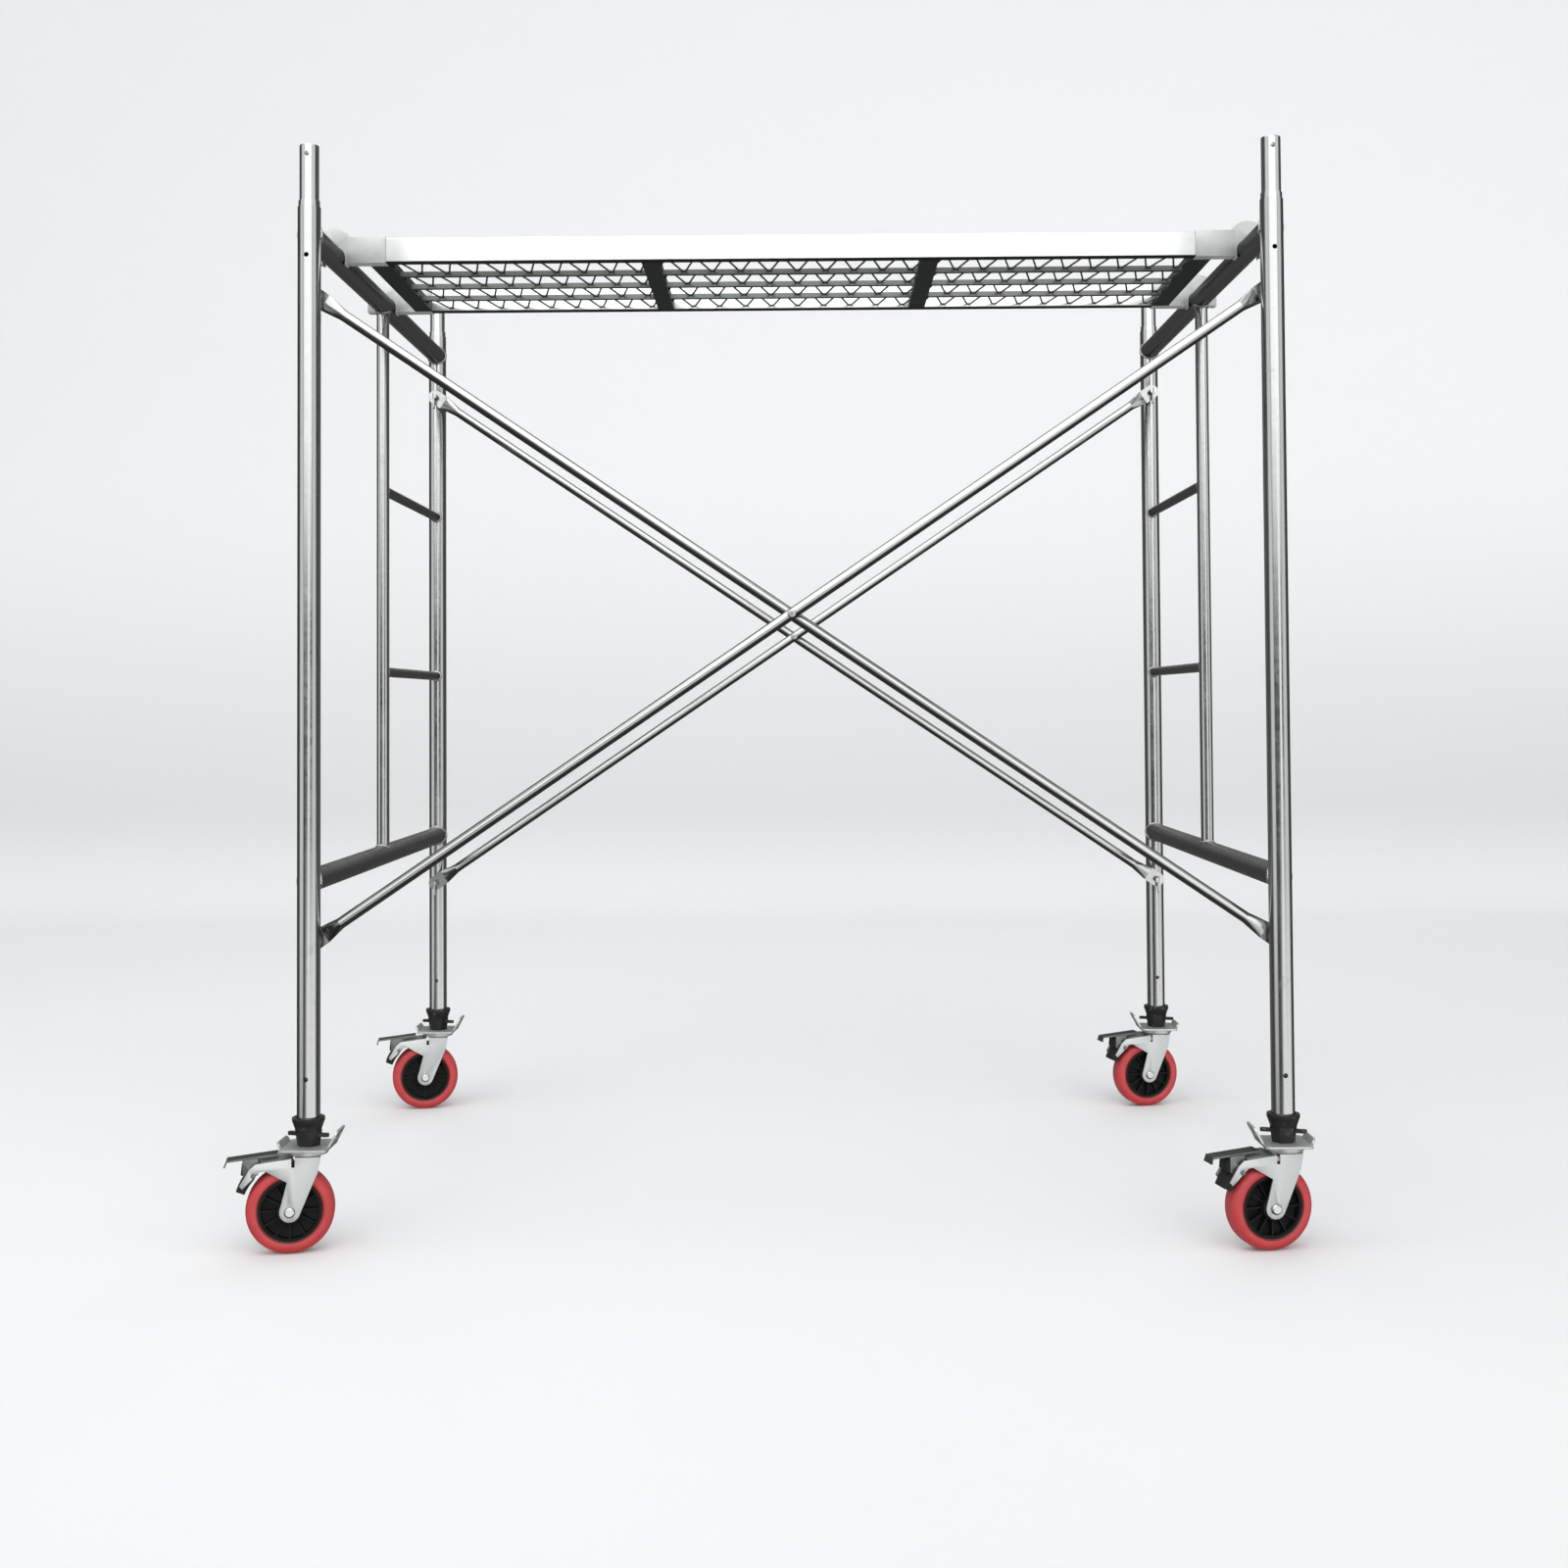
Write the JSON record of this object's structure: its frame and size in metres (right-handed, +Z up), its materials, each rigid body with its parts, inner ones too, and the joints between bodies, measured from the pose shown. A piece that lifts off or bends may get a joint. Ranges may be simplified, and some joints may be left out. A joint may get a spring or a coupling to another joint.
{
  "type": "rolling frame scaffold",
  "caption": "Welded tube ladder frames joined by crossed braces, carrying a hook-on grille deck on braked swivel casters.",
  "frame": {"origin": "on the floor, under the centre of the whole scaffold's bounding box", "axes": "+Z up, +X along the bay from the left frame to the right frame, +Y across the frames from the near side to the far side"},
  "size_m": [2.0022, 1.3239, 2.057],
  "materials": {
    "galvanised_tube": "bright galvanised, semi-gloss",
    "brace_steel": "bright galvanised, semi-gloss",
    "deck_steel": "hot-dip galvanised, satin",
    "hook_casting": "cast and galvanised, matte grey",
    "pin_steel": "zinc plated",
    "zinc_plate": "zinc plated sheet, satin",
    "black_metal": "black, semi-gloss",
    "red_tyre": "red polyurethane, satin",
    "black_plastic": "black moulded nylon",
    "black_rubber": "black rubber"
  },
  "bodies": {
    "frame": {"near_left_post": "galvanised_tube", "far_left_post": "galvanised_tube", "near_right_post": "galvanised_tube", "far_right_post": "galvanised_tube", "left_transom": "galvanised_tube", "left_crossbar": "galvanised_tube", "right_transom": "galvanised_tube", "right_crossbar": "galvanised_tube", "centre_stiles": "galvanised_tube", "rungs": "galvanised_tube", "coupling_pins": "pin_steel", "brace_studs": "pin_steel", "near_rising_brace": "brace_steel", "near_falling_brace": "brace_steel", "far_rising_brace": "brace_steel", "far_falling_brace": "brace_steel", "brace_rivets": "pin_steel", "caster_stems": "pin_steel", "caster_collars": "black_metal", "caster_stem_nuts": "black_metal", "caster_top_plates": "zinc_plate"},
    "deck": {"deck_near_rail": "deck_steel", "deck_far_rail": "deck_steel", "deck_end_members": "deck_steel", "deck_cross_members": "deck_steel", "deck_bearing_bars": "deck_steel", "deck_zigzags": "deck_steel", "deck_hooks": "hook_casting"},
    "near_left_swivel": {"near_left_fork": "zinc_plate", "near_left_axle": "pin_steel"},
    "near_left_wheel": {"near_left_tyre": "red_tyre", "near_left_hub": "black_plastic"},
    "near_left_brake": {"near_left_brake_pedal": "zinc_plate", "near_left_brake_shoe": "black_rubber"},
    "far_left_swivel": {"far_left_fork": "zinc_plate", "far_left_axle": "pin_steel"},
    "far_left_wheel": {"far_left_tyre": "red_tyre", "far_left_hub": "black_plastic"},
    "far_left_brake": {"far_left_brake_pedal": "zinc_plate", "far_left_brake_shoe": "black_rubber"},
    "near_right_swivel": {"near_right_fork": "zinc_plate", "near_right_axle": "pin_steel"},
    "near_right_wheel": {"near_right_tyre": "red_tyre", "near_right_hub": "black_plastic"},
    "near_right_brake": {"near_right_brake_pedal": "zinc_plate", "near_right_brake_shoe": "black_rubber"},
    "far_right_swivel": {"far_right_fork": "zinc_plate", "far_right_axle": "pin_steel"},
    "far_right_wheel": {"far_right_tyre": "red_tyre", "far_right_hub": "black_plastic"},
    "far_right_brake": {"far_right_brake_pedal": "zinc_plate", "far_right_brake_shoe": "black_rubber"},
    "near_left_lower_latch": {"near_left_lower_latch": "zinc_plate"},
    "near_left_upper_latch": {"near_left_upper_latch": "zinc_plate"},
    "far_left_lower_latch": {"far_left_lower_latch": "zinc_plate"},
    "far_left_upper_latch": {"far_left_upper_latch": "zinc_plate"},
    "near_right_lower_latch": {"near_right_lower_latch": "zinc_plate"},
    "near_right_upper_latch": {"near_right_upper_latch": "zinc_plate"},
    "far_right_lower_latch": {"far_right_lower_latch": "zinc_plate"},
    "far_right_upper_latch": {"far_right_upper_latch": "zinc_plate"}
  },
  "joints": [
    {"name": "deck_lift", "type": "slide", "parent": "frame", "child": "deck", "axis": [0, 0, 1], "range_m": [0, 0.15]},
    {"name": "near_left_swivel_turn", "type": "hinge", "parent": "frame", "child": "near_left_swivel", "pos_m": [-0.85238, -0.6095, 0.18], "axis": [0, 0, 1], "continuous": true},
    {"name": "near_left_wheel_roll", "type": "hinge", "parent": "near_left_swivel", "child": "near_left_wheel", "pos_m": [-0.88368, -0.61615, 0.08], "axis": [0.2079, -0.9781, 0], "continuous": true},
    {"name": "near_left_brake_press", "type": "hinge", "parent": "near_left_swivel", "child": "near_left_brake", "pos_m": [-0.94629, -0.62946, 0.149], "axis": [0.2079, -0.9781, 0], "range_deg": [0, 10]},
    {"name": "far_left_swivel_turn", "type": "hinge", "parent": "frame", "child": "far_left_swivel", "pos_m": [-0.85238, 0.6095, 0.18], "axis": [0, 0, 1], "continuous": true},
    {"name": "far_left_wheel_roll", "type": "hinge", "parent": "far_left_swivel", "child": "far_left_wheel", "pos_m": [-0.88368, 0.60285, 0.08], "axis": [0.2079, -0.9781, 0], "continuous": true},
    {"name": "far_left_brake_press", "type": "hinge", "parent": "far_left_swivel", "child": "far_left_brake", "pos_m": [-0.94629, 0.58954, 0.149], "axis": [0.2079, -0.9781, 0], "range_deg": [0, 10]},
    {"name": "near_right_swivel_turn", "type": "hinge", "parent": "frame", "child": "near_right_swivel", "pos_m": [0.94762, -0.6095, 0.18], "axis": [0, 0, 1], "continuous": true},
    {"name": "near_right_wheel_roll", "type": "hinge", "parent": "near_right_swivel", "child": "near_right_wheel", "pos_m": [0.91632, -0.61615, 0.08], "axis": [0.2079, -0.9781, 0], "continuous": true},
    {"name": "near_right_brake_press", "type": "hinge", "parent": "near_right_swivel", "child": "near_right_brake", "pos_m": [0.85372, -0.62946, 0.149], "axis": [0.2079, -0.9781, 0], "range_deg": [0, 10]},
    {"name": "far_right_swivel_turn", "type": "hinge", "parent": "frame", "child": "far_right_swivel", "pos_m": [0.94762, 0.6095, 0.18], "axis": [0, 0, 1], "continuous": true},
    {"name": "far_right_wheel_roll", "type": "hinge", "parent": "far_right_swivel", "child": "far_right_wheel", "pos_m": [0.91632, 0.60285, 0.08], "axis": [0.2079, -0.9781, 0], "continuous": true},
    {"name": "far_right_brake_press", "type": "hinge", "parent": "far_right_swivel", "child": "far_right_brake", "pos_m": [0.85372, 0.58954, 0.149], "axis": [0.2079, -0.9781, 0], "range_deg": [0, 10]},
    {"name": "near_left_lower_latch_swing", "type": "hinge", "parent": "frame", "child": "near_left_lower_latch", "pos_m": [-0.85238, -0.56415, 0.563], "axis": [1, 0, 0], "range_deg": [0, 90]},
    {"name": "near_left_upper_latch_swing", "type": "hinge", "parent": "frame", "child": "near_left_upper_latch", "pos_m": [-0.85238, -0.56415, 1.782], "axis": [1, 0, 0], "range_deg": [0, 90]},
    {"name": "far_left_lower_latch_swing", "type": "hinge", "parent": "frame", "child": "far_left_lower_latch", "pos_m": [-0.85238, 0.56415, 0.563], "axis": [-1, 0, 0], "range_deg": [0, 90]},
    {"name": "far_left_upper_latch_swing", "type": "hinge", "parent": "frame", "child": "far_left_upper_latch", "pos_m": [-0.85238, 0.56415, 1.782], "axis": [-1, 0, 0], "range_deg": [0, 90]},
    {"name": "near_right_lower_latch_swing", "type": "hinge", "parent": "frame", "child": "near_right_lower_latch", "pos_m": [0.94762, -0.56415, 0.563], "axis": [1, 0, 0], "range_deg": [0, 90]},
    {"name": "near_right_upper_latch_swing", "type": "hinge", "parent": "frame", "child": "near_right_upper_latch", "pos_m": [0.94762, -0.56415, 1.782], "axis": [1, 0, 0], "range_deg": [0, 90]},
    {"name": "far_right_lower_latch_swing", "type": "hinge", "parent": "frame", "child": "far_right_lower_latch", "pos_m": [0.94762, 0.56415, 0.563], "axis": [-1, 0, 0], "range_deg": [0, 90]},
    {"name": "far_right_upper_latch_swing", "type": "hinge", "parent": "frame", "child": "far_right_upper_latch", "pos_m": [0.94762, 0.56415, 1.782], "axis": [-1, 0, 0], "range_deg": [0, 90]}
  ]
}
